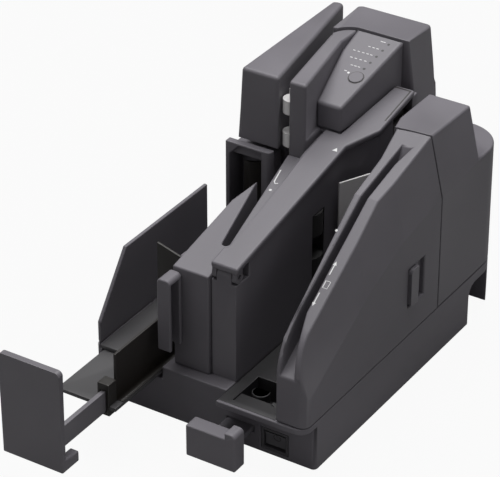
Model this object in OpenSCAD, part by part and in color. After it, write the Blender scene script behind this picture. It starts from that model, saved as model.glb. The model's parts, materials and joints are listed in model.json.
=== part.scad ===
// Desktop cheque scanner with a document hopper at the right front, exit pockets at the
// left front, a U-shaped transport in the middle and a card slot on top of the right cover.
// Millimetres, +Z up. While it is drawn, x = 0 is the right face, y = 0 is the front wall
// of the lower case and z = 0 is the table. The last module moves the origin to the middle
// of the footprint.

/* [Case] */
// Width of the lower case, right face to left face
case_w = 152; // [146:1:165]
// Depth of the lower case, front wall to back wall
case_d = 224; // [220:1:245]
// Height of the seam between the lower case and the covers
seam_z = 36; // [34:1:42]
// Thickness of the deck that closes the lower case
deck_t = 6; // [5.5:0.5:7]
// Wall of the moulded shells
wall = 2.5; // [2:0.1:3]
// Height of the rubber feet
foot_h = 2; // [1:0.5:3]
// Reach of the rim past the front wall, under the hopper
rim_out = 12; // [10:1:16]
// Thickness of the rim
rim_t = 4; // [3:0.5:5]

/* [Document path] */
// Distance from the right face to the wall that the documents slide along
track_x = 60; // [58:1:64]
// Width of the hopper floor
hopper_w = 38.5; // [30:0.5:40]
// Distance from the right face to the seam of the pocket divider
divider_x = 77; // [75:1:80]
// Where the centre unit starts, behind the front wall
unit_y = 119.5; // [112:0.5:124]
// Where the hopper wall turns towards the throat
throat_y = 128; // [124:1:130]
// Distance from the right face to the throat wall of the island
throat_x = 48; // [47:0.5:50]
// Rise of the centre cover and of the divider for each mm of depth
top_slope = 0.2; // [0.1:0.01:0.25]
// Height of the centre cover's top plane over the front wall
lid_z = 111.4; // [108:0.2:116]
// Height of the divider's top plane over the front wall
divider_z = 101.4; // [95:0.2:104]
// Height of the centre unit and of its left cover
unit_top = 174; // [170:1:180]

/* [Right cover] */
// Reach of the right cover past the front wall
door_front = 11; // [8:0.5:14]
// Radius of its rounded nose, seen from the side
nose_r = 32; // [24:1:36]
// Height where the nose starts to bend back
nose_z = 65.8; // [56:0.2:70]
// Height of the knee of its top edge
knee_z = 138.7; // [134:0.1:142]
// Height of its top edge at the rear end
door_top = 152; // [148:1:156]
// Width of its front face
door_w = 20; // [18:0.5:21]
// Width of the card slot
card_w = 4.4; // [4.2:0.1:5.4]
// Lean of the upper right face for each mm of height
lean = 0.23; // [0.15:0.01:0.26]

/* [Moving parts] */
// Radius of the feed roller
feed_r = 11; // [9:0.5:11.5]
// Radius of the pickup roller
pickup_r = 10; // [8:0.5:10.5]
// Radius of the exit rollers
exit_r = 5.5; // [5:0.1:5.8]
// Radius of the hinge pins
pin_r = 2; // [1.5:0.1:2.4]
// Length of the hopper arm's rail behind the front wall
rail_len = 70; // [60:1:90]
// Travel of the pocket extension
extension_travel = 37; // [30:1:37]
// Height of the stopper plate
stopper_h = 68; // [50:1:80]

/* [Hidden] */
$fn = 64;
// Overrun of every cut, gap between neighbouring covers, and radial play of a pin in its bore
over = 1;
gap = 0.3;
play = 0.06;
// The rear half keeps its distance to the back wall; its places are for this depth
drawn_d = 224;
back = case_d - drawn_d;
// Colours of the plastics and metals
charcoal = [0.33, 0.31, 0.33];
dark = [0.2, 0.2, 0.21];
black = [0.07, 0.06, 0.06];
steel = [0.72, 0.72, 0.73];
light = [0.72, 0.71, 0.7];
rubber = [0.12, 0.12, 0.12];
board = [0.05, 0.3, 0.16];

// Corner radii of the lower case and its rim
front_r = 3;
back_right_r = 25;
back_left_r = 12;
inner_r = 0.5;
rim_r = 8;
deck_z = seam_z - deck_t;
pan_t = 2;

// Hopper tray
tray_t = 2.5;
tray_drop = 0.5;
tray_front = 9.5;
tray_back_drawn = 140;
tray_back = tray_back_drawn + back;
tray_x0 = -track_x;
tray_x1 = -track_x + hopper_w;
tray_top = seam_z - tray_drop;
tray_side = 6;
pit_x0 = tray_x0 + tray_side;
pit_x1_off = 1.5;
pit_x1 = tray_x1 - pit_x1_off;
pit_front = 5;
pit_back = 24;
pit_depth = 15;
pit_wall = 1.5;
post_r = 5.4;
post_t = 1;
post_x_off = 17;
post_x = tray_x0 + post_x_off;
post_y = wall + gap + pit_wall + post_r + gap;
post_mouth = 4.2;
fin_w = 7;
fin_h = 3;

// Hopper arm, which slides in a channel under the deck
arm_x0_off = 2;
arm_x0 = tray_x0 - arm_x0_off;
arm_x1_off = 31;
arm_x1 = tray_x0 + arm_x1_off;
arm_y0 = -40;
arm_y1 = -29.5;
arm_z0 = 14;
arm_z1 = 35;
arm_post_w = 7;
arm_post_rise = 4;
arm_r = 3;
arm_travel = 16;
rail_x0 = tray_x0;
rail_x1_off = 18;
rail_x1 = tray_x0 + rail_x1_off;
rail_t = 3.5;
channel_t = 2;
channel_len = rail_len + arm_travel + gap;

// Pocket floor, extension tray and its bar
pocket_side = 4;
pocket_x0 = -case_w + pocket_side;
pocket_x1 = -105;
pocket_back_drawn = 105;
pocket_back = pocket_back_drawn + back;
floor_x1 = -117;
slide_t = 2.5;
extension_x1 = -106;
extension_y0 = -46;
extension_y1 = 60;
clamp_d = 8;
clamp_rise = 5;
guide_x0 = -112.3;
guide_t = 1.5;
guide_y0 = extension_y0 + clamp_d;
guide_y1 = 50;
guide_h = 31;
bar_x0 = -116;
bar_x1 = -113;
bar_z0 = 28;
bar_z1 = 42;
bar_y0 = -90;
bar_back = 20;
stopper_x0 = -151;
stopper_x1 = -109;
stopper_z0 = 15;
stopper_t = 4;
stopper_r = 3;
bar_travel = 34;
hook_h = 7;
hook_d = 12;
hook_w = 6;

// Power switch in the front wall
power_x0 = -37;
power_x1 = -18.5;
power_z0 = 4.5;
power_z1 = 19.5;
bezel_t = 2;
bezel_depth = 5;
rocker_deep = 6;
rocker_pivot_r = 1.2;

// Cable arch and rear leg at the right rear corner
arch_y0_drawn = 182;
arch_y0 = arch_y0_drawn + back;
arch_y1_drawn = 208;
arch_y1 = arch_y1_drawn + back;
arch_foot_y_drawn = 212;
arch_foot_y = arch_foot_y_drawn + back;
arch_z = 29.5;
arch_deep = 30;
arch_wall = 2;

// Connectors in the back wall
usb_x = -96;
usb_w = 12;
usb_h = 11;
inlet_x = -70;
inlet_r = 4.5;
plug_r = 2.8;
connector_deep = 13;

// Bottom cover, board, feet and screws
cover_t = 2;
foot_r = 7;
foot_inset = 16;
screw_r = 1.5;
screw_head_r = 2.8;
screw_head_t = 1.4;
boss_r = 3.6;
board_x0_off = 6;
board_x0 = -case_w + board_x0_off;
board_x1 = -62;
board_y0_drawn = 120;
board_y0 = board_y0_drawn + back;
board_y1_drawn = 212;
board_y1 = board_y1_drawn + back;
board_z = 8;
board_t = 1.6;
chip_h = 2.4;

// Pocket divider: a wedge, a slot for the second pocket and a narrow strip beside the cover
divider_front = 7.5;
wedge_x0 = -101.5;
wedge_back_drawn = 70;
wedge_back = wedge_back_drawn + back;
wedge_tip_drawn = [-96.8, 91];
wedge_tip = wedge_tip_drawn + [0, back];
slot_front = [-83.8, 37];
slot_r = 2.4;
slot_left = -99.8;
slot_right = -93.2;
unit_at = unit_y + back;
throat_at = throat_y + back;
divider_back = unit_at - gap - play;
strip_back_x = -83.9;
tab_x0 = -104;
tab_w = 9;
tab_d = 13;
tab_z0 = 52;
tab_r = 3;

// Island under the centre cover
island_front = 10;
lid_t = 4;
island_gap_x = -76.6;
island_mid = [-77.4, 59];
island_far_x = -81.4;
panel_y_drawn = 137.4;
panel_y = panel_y_drawn + back;
panel_front_x = -68.2;
panel_back_x = -61;
island_back_drawn = 194;
island_back = island_back_drawn + back;
throat_turn_drawn = 149;
throat_turn = throat_turn_drawn + back;
hinge_y = 14;
ear_r = 4;
hinge_drop = lid_t + (ear_r + gap) / cos(atan(top_slope)) + inner_r;
ear_w = 3;
notch_back = 24;
lid_front = 9;
lid_back_drawn = 190;
lid_back = lid_back_drawn + back;
lid_left_front_x = -71;
lid_left_mid = [-75.4, 76];
lid_left_back_x = -78;
lid_left_back_y_drawn = 109;
lid_left_back_y = lid_left_back_y_drawn + back;
lid_overhang = 1.5;
rim_bar_t = 3.5;

// Rollers, their axes and their drive
feed_axis_drawn = [-9.5, 152];
feed_axis = feed_axis_drawn + [-throat_x, back];
pickup_axis_drawn = [-8.5, 100];
pickup_axis = pickup_axis_drawn + [-track_x, back];
exit_axis_drawn = [-95.4, 126.7];
exit_axis = exit_axis_drawn + [0, back];
retard_axis_drawn = [-38, 152];
retard_axis = retard_axis_drawn + [0, back];
motor_axis_drawn = [-84, 165];
motor_axis = motor_axis_drawn + [0, back];
roller_gap = 0.6;
shaft_r = 1.5;
feed_z = [42, 112];
pickup_z = [60, 105];
roller_w = 15;
exit_z_list = [60, 95, 128, 150];
exit_w = 9;
retard_r = 8;
retard_z = [60, 100];
shaft_top = 6;
pulley_r = 5;
pulley_t = 6;
pulley_z = 21;
belt_t = 1.2;
belt_play = 0.1;
motor_r = 13;
motor_h = 40;
motor_plate = 34;
motor_plate_t = 2;

// Centre rear housing, its strip and the control panel block
housing_left = [-93.2, unit_at];
housing_strip_x = -81.6;
housing_far_drawn = [-104, 198];
housing_far = housing_far_drawn + [0, back];
housing_r = 14;
strip_apex_drawn = [-93.2, 180];
strip_apex = strip_apex_drawn + [0, back];
shelf_z = 137.6;
panel_z = 154.9;
panel_slope = 0.32;
panel_front_drop = 1;
button_r = 4.6;
button_at_drawn = [-72.8, 162.6];
button_at = button_at_drawn + [0, back];
button_rise = 0.6;
button_travel = 1;
button_flange = 1.6;
light_r = 0.9;
light_first_drawn = [-68.4, 193.4];
light_first = light_first_drawn + [0, back];
light_step = [-0.88, -5.7];
light_count = 5;
housing_cavity_x0 = -98;
housing_cavity_x1 = -69.5;

// Rear cover and right rear cover
rear_x0 = -108.5;
rear_x1 = -57;
rear_tip_drawn = [-105.3, 190];
rear_tip = rear_tip_drawn + [0, back];
rear_lean = 0.12;
rear_y1_drawn = 226;
rear_y1 = rear_y1_drawn + back;
rear_rise = 2;
rear_r = 5;
drum_z = 118;
box_back_drawn = 187;
box_back = box_back_drawn + back;
drum_step_y_drawn = 198;
drum_step_y = drum_step_y_drawn + back;
drum_left = -36;
drum_left_front = -32;

// Right cover outline and what is in it
knee_y = 80;
door_left_mid_drawn = [-26.5, 113];
door_left_mid = door_left_mid_drawn + [0, back];
door_left_back_x = -31.5;
door_back_drawn = 141;
door_back = door_back_drawn + back;
door_corner_r = 6;
pin_x = -8;
pin_y = -3;
pin_down = 3;
pin_up = 12;
pin_boss_r = 6.5;
seam_gap = 1.1;
crease_y_drawn = [-11, 55, 97, 141, 187];
crease_y = [for (i = [0 : len(crease_y_drawn) - 1]) crease_y_drawn[i] + (i > 1 ? back : 0)];
crease_z = [52, 90, 106.5, 113, 117.5];
slot_x0 = -17.2;
slot_x1 = -18.6;
card_mouth = [-17.2, -8];
card_mouth_y = 13;
card_tail = 2.4;
card_tail_y_drawn = 112;
card_tail_y = card_tail_y_drawn + back;
card_front_z = 67.5;
card_slope = 0.45;
card_ramp_y_drawn = 110;
card_ramp_y = card_ramp_y_drawn + back;
card_end_y_drawn = 130;
card_end_y = card_end_y_drawn + back;
bay_front_z = 56;
latch_y0_drawn = 103.5;
latch_y0 = latch_y0_drawn + back;
latch_y1_drawn = 122.5;
latch_y1 = latch_y1_drawn + back;
latch_z0 = 57;
latch_z1 = 83;
latch_deep = 3;
latch_travel = 3;
latch_plate_t = 1;
latch_ridge = 9;
latch_proud = 2;
card_head_y_drawn = 96;
card_head_y = card_head_y_drawn + back;

// Left rear cover
left_x0 = -128.5;
left_x1 = -100.6;
left_far_x = -118.8;
left_back_drawn = 226;
left_back = left_back_drawn + back;
left_r = 7;
left_draft = 2;
left_pin_drawn = [-122.5, 217];
left_pin = left_pin_drawn + [0, back];
left_setback_drawn = 134;
left_setback = left_setback_drawn + back;
left_step_z = 126;
pin_len = 15;

// Pocket frame, guard, flap, lever and diverter
frame_x0 = -133.9;
frame_x1 = -102.1;
frame_y0_drawn = 113;
frame_y0 = frame_y0_drawn + back;
frame_y1_drawn = 118;
frame_y1 = frame_y1_drawn + back;
frame_back_drawn = 130.5;
frame_back = frame_back_drawn + back;
frame_top = 125.4;
frame_rim = 3;
frame_side = 6.5;
frame_cut = 6.5;
frame_head = 1.8;
window_z0 = 45;
guard_t = 2.5;
guard_y0 = 2;
guard_y1_drawn = 117;
guard_y1 = guard_y1_drawn + back;
guard_top = 88;
guard_slope_y = 30;
guard_low = 50;
flap_pivot = [-104.6, 27];
flap_r = 1.5;
flap_x0 = -125;
flap_t = 1.6;
flap_z0 = 66;
flap_z1 = 101;
flap_drop = 5;
flap_ear_t = 3;
lever_pivot_drawn = [-112, 123.5];
lever_pivot = lever_pivot_drawn + [0, back];
lever_r = 2;
lever_len = 14;
lever_t = 2;
lever_z0 = 62;
lever_z1 = 112;
lever_angle = 208;
diverter_pivot_drawn = [-96, 95];
diverter_pivot = diverter_pivot_drawn + [0, back];
diverter_r = 1.5;
diverter_len = 20;
diverter_t = 1.2;
diverter_z0 = 60;
diverter_z1 = 100;

// Pressure plate, throat guide and sealed inner pieces
plate_reach = -24.5;
plate_pivot_off = [-4.5, 62];
plate_pivot = plate_pivot_off + [min(tray_x1, plate_reach), 0];
plate_r = 2.2;
plate_len_drawn = 50;
plate_len = plate_len_drawn + back;
plate_t = 2;
plate_z0 = 40;
plate_z1 = 100;
guide_from_drawn = [3, 118];
guide_from = guide_from_drawn + [-track_x, back];
guide_to_drawn = [2.5, 141];
guide_to = guide_to_drawn + [-throat_x, back];
guide_sheet = 1.2;
throat_guide_z = 117;
ink_y0_drawn = 166;
ink_y0 = ink_y0_drawn + back;
ink_y1_drawn = 188;
ink_y1 = ink_y1_drawn + back;
ink_z0 = 100;
ink_z1 = 136;
ink_w = 11;
head_y0_drawn = 168;
head_y0 = head_y0_drawn + back;
head_y1_drawn = 180;
head_y1 = head_y1_drawn + back;
head_z0 = 42;
head_z1 = 60;
head_w = 8;
sensor_y0_drawn = 166;
sensor_y0 = sensor_y0_drawn + back;
sensor_y1_drawn = 180;
sensor_y1 = sensor_y1_drawn + back;
sensor_z0 = 42;
sensor_z1 = 108;
sensor_w = 7;

// Lengths worked out from the sizes above
reach = 2 * case_d;
tilt = atan(top_slope);
tray_z0 = deck_z + gap;
tray_z1 = tray_z0 + slide_t;
floor_z0 = tray_z1 + gap;
floor_z1 = floor_z0 + slide_t;
pocket_z = bar_z0 - gap;
panel_back = housing_far[1];
lid_right = -track_x + lid_overhang;
hinge_z = lid_z + top_slope * hinge_y - hinge_drop;
cover_z = seam_z + gap;
rear_spread = rear_lean * (unit_top + rear_rise - drum_z);
divider_x0 = -divider_x;

// Block between two places on each axis
module slab(x0, x1, y0, y1, z0, z1) {
    translate([x0, y0, z0]) cube([x1 - x0, y1 - y0, z1 - z0]);
}

// Upright round bar
module bar(at, r, z0, z1) {
    translate([at[0], at[1], z0]) cylinder(r = r, h = z1 - z0);
}

// Plan outline raised between two heights
module rise(z0, z1) {
    translate([0, 0, z0]) linear_extrude(z1 - z0) children();
}

// Outline in depth and height, drawn out across the width
module side_rise(x0, x1) {
    translate([x0, 0, 0]) rotate([90, 0, 90]) linear_extrude(x1 - x0) children();
}

// Outline in width and height, drawn out in depth
module front_rise(y0, y1) {
    translate([0, y1, 0]) rotate([90, 0, 0]) linear_extrude(y1 - y0) children();
}

// What a round corner takes off a square one; sx and sy point out of the shape
module round_off(x, y, r, sx, sy) {
    translate([x - sx * r, y - sy * r]) difference() {
        translate([sx > 0 ? 0 : -r - over, sy > 0 ? 0 : -r - over]) square(r + over);
        circle(r = r);
    }
}

// Trims its children under a plane that rises to the back
module under_plane(z0, slope) {
    difference() {
        children();
        translate([-reach, 0, z0]) rotate([atan(slope), 0, 0])
            translate([0, -reach, 0]) cube([2 * reach, 2 * reach, reach]);
    }
}

// Trims its children to the left of a leaning plane over the crease line
module lean_trim() {
    difference() {
        children();
        for (i = [0 : len(crease_y) - 2]) {
            m = (crease_z[i + 1] - crease_z[i]) / (crease_y[i + 1] - crease_y[i]);
            n = sqrt(1 + lean * lean * m * m + lean * lean);
            z0 = crease_z[i] - m * crease_y[i];
            translate([0, 0, z0]) rotate([0, -asin(lean / n), -atan(lean * m)])
                translate([0, -reach, -reach]) cube([reach, 2 * reach, 2 * reach]);
        }
    }
}

function corner(r, inset) = max(r - inset, inner_r);

// Plan of the lower case, drawn in by an inset
module case_outline(inset) {
    difference() {
        translate([-case_w + inset, inset]) square([case_w - 2 * inset, case_d - 2 * inset]);
        round_off(-inset, inset, corner(front_r, inset), 1, -1);
        round_off(-case_w + inset, inset, corner(front_r, inset), -1, -1);
        round_off(-inset, case_d - inset, corner(back_right_r, inset), 1, 1);
        round_off(-case_w + inset, case_d - inset, corner(back_left_r, inset), -1, 1);
    }
}

foot_places = [
    [-foot_inset, foot_inset], [-case_w + foot_inset, foot_inset],
    [-arch_deep - arch_wall - foot_r - over, case_d - foot_inset],
    [-case_w + foot_inset, case_d - foot_inset]
];
screw_places = [
    for (p = foot_places) [p[0], p[1] < case_d / 2 ? p[1] + foot_inset : p[1] - foot_inset]
];

module lower_case() color(charcoal) {
    difference() {
        union() {
            difference() {
                rise(foot_h, seam_z) case_outline(0);
                rise(foot_h - over, deck_z) case_outline(wall);
            }
            // Rim under the hopper
            rise(seam_z - rim_t, seam_z) difference() {
                translate([-track_x, -rim_out]) square([track_x, rim_out + wall]);
                round_off(0, -rim_out, rim_r, 1, -1);
            }
            // Pan under the pocket, where the extension slides
            slab(-case_w + wall / 2, pocket_x1 + pan_t, wall / 2, pocket_back + pan_t,
                pocket_z - pan_t, deck_z + inner_r);
            // Channel of the hopper arm's rail
            slab(rail_x0 - gap - channel_t, rail_x1 + gap + channel_t, wall / 2, channel_len,
                arm_z0 - gap - channel_t, arm_z0 + rail_t + gap + channel_t);
            // Walls of the cable arch
            intersection() {
                rise(foot_h, deck_z + inner_r) case_outline(0);
                slab(-arch_deep - arch_wall, 0, arch_y0 - arch_wall, case_d,
                    foot_h, deck_z + inner_r);
            }
            // Bosses for the screws of the bottom cover
            for (p = screw_places) bar(p, boss_r, foot_h + cover_t, deck_z + inner_r);
        }
        for (p = screw_places) bar(p, screw_r, foot_h, deck_z - boss_r);
        // Recess of the hopper tray and the hole for its pit
        slab(tray_x0 - gap, tray_x1 + gap, -tray_front - gap, tray_back + gap,
            tray_top - tray_t, seam_z + over);
        slab(pit_x0 - gap, pit_x1 + gap, wall, pit_back + gap,
            seam_z - pit_depth - pit_wall - gap, seam_z);
        // Pocket: way of the extension, recess of the floor plate and way of the bar
        slab(pocket_x0, pocket_x1, -over, pocket_back, pocket_z, seam_z + over);
        slab(pocket_x0 - wall / 2, floor_x1 + gap, -over, pocket_back + wall,
            floor_z0, seam_z + over);
        // Way of the rail
        slab(rail_x0 - gap, rail_x1 + gap, -over, channel_len + over,
            arm_z0 - gap, arm_z0 + rail_t + gap);
        // Power switch, arch and connectors
        slab(power_x0, power_x1, -over, wall + over, power_z0, power_z1);
        side_rise(-arch_deep, over) arch_outline();
        slab(usb_x - usb_w / 2 - gap, usb_x + usb_w / 2 + gap, case_d - wall - over,
            case_d + over, board_z + board_t, board_z + board_t + usb_h + gap);
        translate([inlet_x, case_d - wall - over, board_z + board_t + inlet_r + 1 * gap])
            rotate([-90, 0, 0]) cylinder(r = inlet_r, h = wall + 2 * over);
        // Holes for the pins and shafts
        for (p = [[pin_x, pin_y]]) bar(p, pin_r, seam_z - pin_down, seam_z + over);
        bar(left_pin, pin_r, seam_z - pin_down, seam_z + over);
        for (p = [feed_axis, pickup_axis, exit_axis, motor_axis, retard_axis])
            bar(p, shaft_r + play, deck_z - over, seam_z + over);
        bar(lever_pivot, lever_r + play, seam_z - pin_down, seam_z + over);
        bar(diverter_pivot, diverter_r + play, seam_z - pin_down, seam_z + over);
        bar(plate_pivot, plate_r + play, tray_top - tray_t - pin_down, seam_z + over);
    }
}

// Opening at the right rear corner that the cables leave by
module arch_outline() {
    difference() {
        polygon([[arch_y0, -over], [arch_y0, arch_z], [arch_y1, arch_z],
            [arch_foot_y, -over]]);
        round_off(arch_y0, arch_z, rim_r, -1, 1);
    }
}

module bottom_cover() color(dark) {
    difference() {
        rise(foot_h, foot_h + cover_t) case_outline(wall + gap);
        slab(-arch_deep - arch_wall - gap, 0, arch_y0 - arch_wall - gap, case_d,
            foot_h - over, foot_h + cover_t + over);
        for (p = screw_places) {
            bar(p, screw_r + play, foot_h - over, foot_h + cover_t + over);
            bar(p, screw_head_r + play, foot_h - over, foot_h + screw_head_t);
        }
        // Cooling slots
        for (i = [0 : 5])
            slab(-case_w / 2 - foot_inset, -case_w / 2 + foot_inset,
                case_d / 2 + (2 * i) * wall, case_d / 2 + (2 * i + 1) * wall,
                foot_h - over, foot_h + cover_t + over);
    }
}

module rubber_feet() color(rubber) {
    for (p = foot_places) bar(p, foot_r, 0, foot_h);
}

module case_screws() color(steel) {
    for (p = screw_places) {
        bar(p, screw_r, foot_h + screw_head_t, deck_z - 2 * boss_r);
        bar(p, screw_head_r, foot_h, foot_h + screw_head_t);
    }
}

module circuit_board() color(board) {
    difference() {
        union() {
            slab(board_x0, board_x1, board_y0, board_y1, board_z, board_z + board_t);
            // Chips and a heat sink
            for (i = [0 : 2])
                slab(board_x0 + (2 * i + 1) * foot_r, board_x0 + (2 * i + 2.4) * foot_r,
                    board_y0 + (i + 2) * foot_r, board_y0 + (i + 3.6) * foot_r,
                    board_z + board_t, board_z + board_t + chip_h);
            // Standoffs
            for (x = [board_x0 + foot_r, board_x1 - foot_r])
                for (y = [board_y0 + foot_r, board_y1 - foot_r])
                    bar([x, y], boss_r, foot_h + cover_t, board_z);
        }
        for (p = screw_places) bar(p, boss_r + gap, foot_h, deck_z);
    }
}

module rear_connectors() color(black) {
    top = board_z + board_t;
    difference() {
        slab(usb_x - usb_w / 2, usb_x + usb_w / 2, case_d - connector_deep, case_d - gap,
            top, top + usb_h);
        slab(usb_x - usb_w / 4, usb_x + usb_w / 4, case_d - connector_deep / 2, case_d,
            top + usb_h / 4, top + 3 * usb_h / 4);
    }
    difference() {
        union() {
            translate([inlet_x, case_d - connector_deep, top + inlet_r + gap])
                rotate([-90, 0, 0]) cylinder(r = inlet_r - gap, h = connector_deep - gap);
            slab(inlet_x - inlet_r, inlet_x + inlet_r, case_d - connector_deep,
                case_d - wall - gap, top, top + inlet_r);
        }
        translate([inlet_x, case_d - connector_deep / 2, top + inlet_r + gap])
            rotate([-90, 0, 0]) cylinder(r = plug_r, h = connector_deep);
    }
}

module hopper_tray() color(dark) {
    post = [post_x, post_y];
    floor = seam_z - pit_depth;
    difference() {
        union() {
            slab(tray_x0, tray_x1, -tray_front, tray_back, tray_top - tray_t, tray_top);
            slab(pit_x0, pit_x1, wall + gap, pit_back, floor - pit_wall, tray_top - tray_t);
        }
        slab(pit_x0 + pit_wall, pit_x1 - pit_wall, wall + gap + pit_wall,
            pit_back - pit_wall, floor, tray_top + over);
        slab(pit_x0 + pit_wall, pit_x1 - pit_wall, -pit_front, pit_back - pit_wall,
            tray_top - tray_t / 2, tray_top + over);
        bar(plate_pivot, plate_r + play, tray_top - tray_t - over, tray_top + over);
    }
    // Open round post in the pit
    difference() {
        bar(post, post_r, floor, tray_top);
        bar(post, post_r - post_t, floor, tray_top + over);
        slab(post_x - post_mouth, post_x + post_mouth, post_y, post_y + 2 * post_r,
            floor, tray_top + over);
    }
    // Small fin at the pit's right front
    front_rise(wall + gap, wall + gap + 2 * pit_wall)
        polygon([[pit_x1 - pit_wall - fin_w, floor], [pit_x1 - pit_wall, floor],
            [pit_x1 - pit_wall, tray_top - fin_h], [pit_x1 - pit_wall - fin_w, tray_top]]);
}

module pocket_floor() color(dark) {
    slab(pocket_x0 - wall / 2, floor_x1, inner_r, pocket_back + wall, floor_z0, floor_z1);
}

function slot_line(edge, y) =
    edge + (slot_front[0] - edge) * (divider_back - y) / (divider_back - slot_front[1]);

module pocket_divider() color(charcoal) {
    under_plane(divider_z, top_slope) difference() {
        rise(seam_z, unit_top) difference() {
            polygon([
                [wedge_x0, divider_front], [divider_x0, divider_front],
                [divider_x0, slot_front[1]], [island_mid[0] - gap, island_mid[1]],
                [strip_back_x, divider_back], [slot_right, divider_back],
                [slot_front[0] + slot_r, slot_front[1]],
                [slot_front[0] - slot_r, slot_front[1]],
                wedge_tip, [wedge_x0, wedge_back]
            ]);
            translate(slot_front) circle(r = slot_r);
        }
        // Hollow underside of the wedge
        under_plane(divider_z - wall, top_slope) rise(seam_z - over, unit_top)
            polygon([
                [wedge_x0 + wall, divider_front + wall],
                [slot_front[0] - slot_r - wall, divider_front + wall],
                [slot_front[0] - slot_r - wall, slot_front[1]],
                [wedge_tip[0] - wall / 2, wedge_back], [wedge_x0 + wall, wedge_back - wall]
            ]);
    }
    // Ears of the pocket flap
    for (z = [flap_z0 - flap_ear_t - gap, flap_z1 - flap_drop + gap])
        difference() {
            slab(flap_pivot[0] - 2 * flap_r, wedge_x0, flap_pivot[1] - 2 * flap_r,
                flap_pivot[1] + 2 * flap_r, z, z + flap_ear_t);
            bar(flap_pivot, flap_r + play, z - over, z + flap_ear_t + over);
        }
}

module divider_end_tab() color(charcoal) {
    top = divider_z + top_slope * divider_front - wall;
    difference() {
        slab(tab_x0, tab_x0 + tab_w, divider_front - tab_d, divider_front, tab_z0, top);
        front_rise(divider_front - tab_d - over, divider_front + over) {
            round_off(tab_x0, top, tab_r, -1, 1);
            round_off(tab_x0 + tab_w, top, tab_r, 1, 1);
        }
        // Hollow back, open to the right
        slab(tab_x0 + wall, tab_x0 + tab_w + over, divider_front - tab_d + wall,
            divider_front - wall, tab_z0 - over, top - tab_r);
    }
}

module centre_island() color(charcoal) {
    top = lid_z - lid_t - gap;
    difference() {
        under_plane(top, top_slope) rise(seam_z, unit_top) polygon([
            [-track_x, island_front], [-track_x, throat_at], [-throat_x, throat_turn],
            [-throat_x, island_back], [panel_back_x + gap, island_back],
            [panel_front_x + gap, panel_y - gap], [housing_strip_x + gap, panel_y - gap],
            [island_far_x, divider_back], [island_mid[0], island_mid[1]],
            [divider_x0 + gap, slot_front[1]], [divider_x0 + gap, island_front]
        ]);
        // Low front end, where the cover's hinge turns
        slab(divider_x0, 0, 0, notch_back, hinge_z - ear_r - gap, unit_top);
        // Rooms of the rollers
        bar(feed_axis, feed_r + roller_gap, feed_z[0] - gap, feed_z[1] + gap);
        bar(feed_axis, shaft_r + play, seam_z - over, feed_z[1] + shaft_top + gap);
        bar(pickup_axis, pickup_r + roller_gap, pickup_z[0] - gap, pickup_z[1] + gap);
        bar(pickup_axis, shaft_r + play, seam_z - over, pickup_z[1] + shaft_top + gap);
        // Bays of the ink cartridge and the magnetic head, open to the throat
        slab(-throat_x - ink_w - gap, -throat_x + over, ink_y0 - gap, ink_y1 + gap,
            ink_z0 - gap, unit_top);
        slab(-throat_x - head_w - gap, -throat_x + over, head_y0 - gap, head_y1 + gap,
            head_z0 - gap, head_z1 + gap);
    }
    // Knuckle of the hinge
    difference() {
        union() {
            side_rise(divider_x0 + 2 * gap + ear_w + gap, -track_x - ear_w - gap) {
                translate([hinge_y, hinge_z]) circle(r = ear_r);
                translate([hinge_y - ear_r, hinge_z - ear_r - 2 * gap])
                    square([2 * ear_r, ear_r]);
            }
        }
        side_rise(divider_x0, 0) translate([hinge_y, hinge_z]) circle(r = pin_r - inner_r);
    }
}

module lid_pin() color(steel) {
    side_rise(divider_x0 + 2 * gap, -track_x - gap)
        translate([hinge_y, hinge_z]) circle(r = pin_r - inner_r);
}

module centre_cover() color(charcoal) {
    difference() {
        union() {
            under_plane(lid_z, top_slope) difference() {
                rise(seam_z, unit_top) polygon([
                    [lid_right, lid_front], [lid_right, throat_at],
                    [-throat_x + lid_overhang / 2, throat_turn],
                    [-throat_x + lid_overhang / 2, lid_back],
                    [panel_back_x + lid_overhang / 2, lid_back],
                    [panel_front_x + lid_overhang / 2, panel_y - 2 * gap],
                    [lid_left_back_x, panel_y - 2 * gap], [lid_left_back_x, lid_left_back_y],
                    lid_left_mid, [lid_left_front_x, notch_back], [lid_left_front_x, lid_front]
                ]);
                // Everything under the plate
                under_plane(lid_z - lid_t, top_slope) rise(0, reach)
                    translate([-case_w, -rim_out]) square([case_w, reach]);
            }
            // Hinge ears
            for (x = [divider_x0 + 2 * gap, -track_x - ear_w])
                side_rise(x, x + ear_w) {
                    translate([hinge_y, hinge_z]) circle(r = ear_r);
                    translate([hinge_y - ear_r, hinge_z])
                        square([2 * ear_r, hinge_drop - lid_t / 2]);
                }
            under_plane(lid_z, top_slope)
                slab(divider_x0 + 2 * gap, lid_left_front_x + wall, lid_front,
                    notch_back - gap, hinge_z + ear_r + gap, unit_top);
        }
        side_rise(divider_x0 - over, 0) translate([hinge_y, hinge_z])
            circle(r = pin_r - inner_r + play);
    }
}

module housing_outline(inset) {
    difference() {
        polygon([
            housing_left + [inset, inset], [housing_strip_x - inset, unit_at + inset],
            [housing_strip_x - inset, panel_y + inset], [panel_front_x - inset, panel_y + inset],
            [panel_back_x - inset, panel_back - inset], housing_far + [inset, -inset],
            [housing_far[0] + inset, housing_far[1] - housing_r]
        ]);
        round_off(housing_far[0], housing_far[1], housing_r, -1, 1);
    }
}

// Plan of the strip, left of the control panel block
module strip_outline() {
    difference() {
        polygon([
            housing_left, [housing_strip_x, unit_at], strip_apex, [strip_apex[0], panel_back],
            housing_far, [housing_far[0], housing_far[1] - housing_r]
        ]);
        round_off(housing_far[0], housing_far[1], housing_r, -1, 1);
    }
}

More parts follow.
